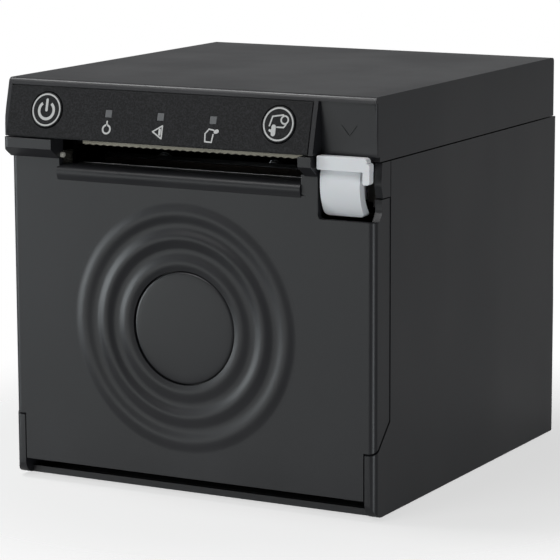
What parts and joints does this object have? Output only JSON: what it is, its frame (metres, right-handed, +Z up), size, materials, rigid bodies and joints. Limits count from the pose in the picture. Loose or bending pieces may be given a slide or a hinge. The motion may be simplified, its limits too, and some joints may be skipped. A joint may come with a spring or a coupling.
{
  "type": "receipt printer",
  "caption": "Cube-shaped desktop receipt printer with a drop-down front door, round rippled front panel, top paper exit, control strip and a pale release lever; paper roll loads inside",
  "frame": {"origin": "Middle of the footprint, at the level the feet stand on: the centre of the bottom of the bounding box", "axes": "+Z up, the door faces -Y, +X to the right of someone who faces the door"},
  "size_m": [0.13, 0.1428, 0.13],
  "materials": {
    "case_black": "black moulded ABS with a fine spark-eroded grain",
    "panel_membrane": "black textured polycarbonate film with pale printed symbols",
    "lever_white": "cool white moulded plastic, satin",
    "clear_guide": "frosted clear moulding that carries light to the panel",
    "inner_black": "dark grey moulded plastic, plain satin",
    "zinc_sheet": "zinc-plated sheet steel, slightly warm grey",
    "bright_steel": "bright steel",
    "spring_steel": "spring wire, drawn finish",
    "head_aluminium": "plain extruded aluminium",
    "black_rubber": "black rubber, matt",
    "acetal": "natural acetal gear plastic, ivory",
    "circuit_board": "green glass-epoxy board",
    "ceramic": "glazed ceramic heater strip",
    "ribbon": "pale flat cable",
    "socket_shell": "tin-plated connector shell"
  },
  "bodies": {
    "body": {"base_housing": "case_black", "bottom_cover": "inner_black", "bottom_screw_front_left": "bright_steel", "bottom_screw_rear_left": "bright_steel", "bottom_screw_front_right": "bright_steel", "bottom_screw_rear_right": "bright_steel", "foot_front_left": "black_rubber", "foot_rear_left": "black_rubber", "foot_front_right": "black_rubber", "foot_rear_right": "black_rubber", "cover_screw_left": "bright_steel", "cover_screw_right": "bright_steel", "top_cover": "case_black", "panel_overlay": "panel_membrane", "light_guide": "clear_guide", "control_board": "circuit_board", "hinge_pin_left": "bright_steel", "hinge_pin_right": "bright_steel", "lever_bracket": "zinc_sheet", "lever_spring": "spring_steel", "feed_motor": "bright_steel", "cutter_frame": "zinc_sheet", "tear_bar": "bright_steel", "cutter_motor": "bright_steel", "paper_tray": "inner_black", "mechanism_frame": "zinc_sheet", "panel_screw_left": "bright_steel", "panel_screw_right": "bright_steel", "main_board": "circuit_board", "interface_board": "circuit_board", "power_inlet": "inner_black", "usb_port": "socket_shell", "ethernet_port": "socket_shell", "drawer_port": "socket_shell", "rear_panel": "zinc_sheet", "head_ribbon_cable": "ribbon"},
    "door": {"front_door": "case_black", "door_inner_panel": "inner_black", "emblem_disc": "case_black", "fixed_blade": "bright_steel", "platen_bush_left": "acetal", "platen_bush_right": "acetal"},
    "platen": {"platen_shaft": "bright_steel", "platen_roller": "black_rubber", "platen_gear": "acetal"},
    "lever": {"release_lever": "lever_white"},
    "latch": {"latch_shaft": "bright_steel", "latch_hook_left": "zinc_sheet", "latch_hook_right": "zinc_sheet"},
    "print_head": {"head_heatsink": "head_aluminium", "thermal_head": "ceramic", "head_spring_left": "spring_steel", "head_spring_right": "spring_steel"},
    "idler": {"idler_gear": "acetal"},
    "feed_drive": {"feed_pinion": "zinc_sheet"},
    "power_key": {"power_button": "panel_membrane"},
    "feed_key": {"feed_button": "panel_membrane"},
    "blade": {"moving_blade": "bright_steel", "blade_carrier": "inner_black"},
    "cutter_drive": {"cutter_pinion": "acetal"}
  },
  "joints": [
    {"name": "door_hinge", "type": "hinge", "parent": "body", "child": "door", "pos_m": [0, -0.0621, 0.0085], "axis": [1, 0, 0], "range_deg": [0, 85]},
    {"name": "platen_spin", "type": "hinge", "parent": "door", "child": "platen", "pos_m": [-0.0027, -0.0506, 0.0968], "axis": [1, 0, 0], "continuous": true},
    {"name": "idler_spin", "type": "hinge", "parent": "body", "child": "idler", "pos_m": [-0.053, -0.02992, 0.10045], "axis": [1, 0, 0], "continuous": true},
    {"name": "feed_pinion_spin", "type": "hinge", "parent": "body", "child": "feed_drive", "pos_m": [-0.053, -0.01469, 0.10755], "axis": [1, 0, 0], "continuous": true},
    {"name": "release_lever", "type": "hinge", "parent": "body", "child": "lever", "pos_m": [0.0535, -0.0406, 0.101], "axis": [1, 0, 0], "range_deg": [0, 9.5], "stiffness_Nm_per_rad": 0.3},
    {"name": "latch_turn", "type": "hinge", "parent": "body", "child": "latch", "pos_m": [0, -0.0296, 0.1045], "axis": [1, 0, 0], "range_deg": [-10, 0]},
    {"name": "head_rock", "type": "hinge", "parent": "body", "child": "print_head", "pos_m": [-0.0027, -0.04019, 0.09427], "axis": [-1, 0, 0], "range_deg": [0, 2], "stiffness_Nm_per_rad": 1},
    {"name": "power_press", "type": "slide", "parent": "body", "child": "power_key", "axis": [0, 0.9691, -0.2467], "range_m": [0, 0.0006], "stiffness_N_per_m": 400},
    {"name": "feed_press", "type": "slide", "parent": "body", "child": "feed_key", "axis": [0, 0.9691, -0.2467], "range_m": [0, 0.0006], "stiffness_N_per_m": 400},
    {"name": "blade_stroke", "type": "slide", "parent": "body", "child": "blade", "axis": [0, 0, -1], "range_m": [0, 0.0056]},
    {"name": "cutter_pinion_spin", "type": "hinge", "parent": "body", "child": "cutter_drive", "pos_m": [0.0238, -0.05, 0.114], "axis": [1, 0, 0], "range_deg": [0, 77]}
  ],
  "couplings": [
    {"joint": "idler_spin", "follows": "platen_spin", "ratio": -0.66667},
    {"joint": "feed_pinion_spin", "follows": "platen_spin", "ratio": 2},
    {"joint": "latch_turn", "follows": "release_lever", "ratio": -1},
    {"joint": "cutter_pinion_spin", "follows": "blade_stroke", "rad_per_m": 238.1}
  ]
}
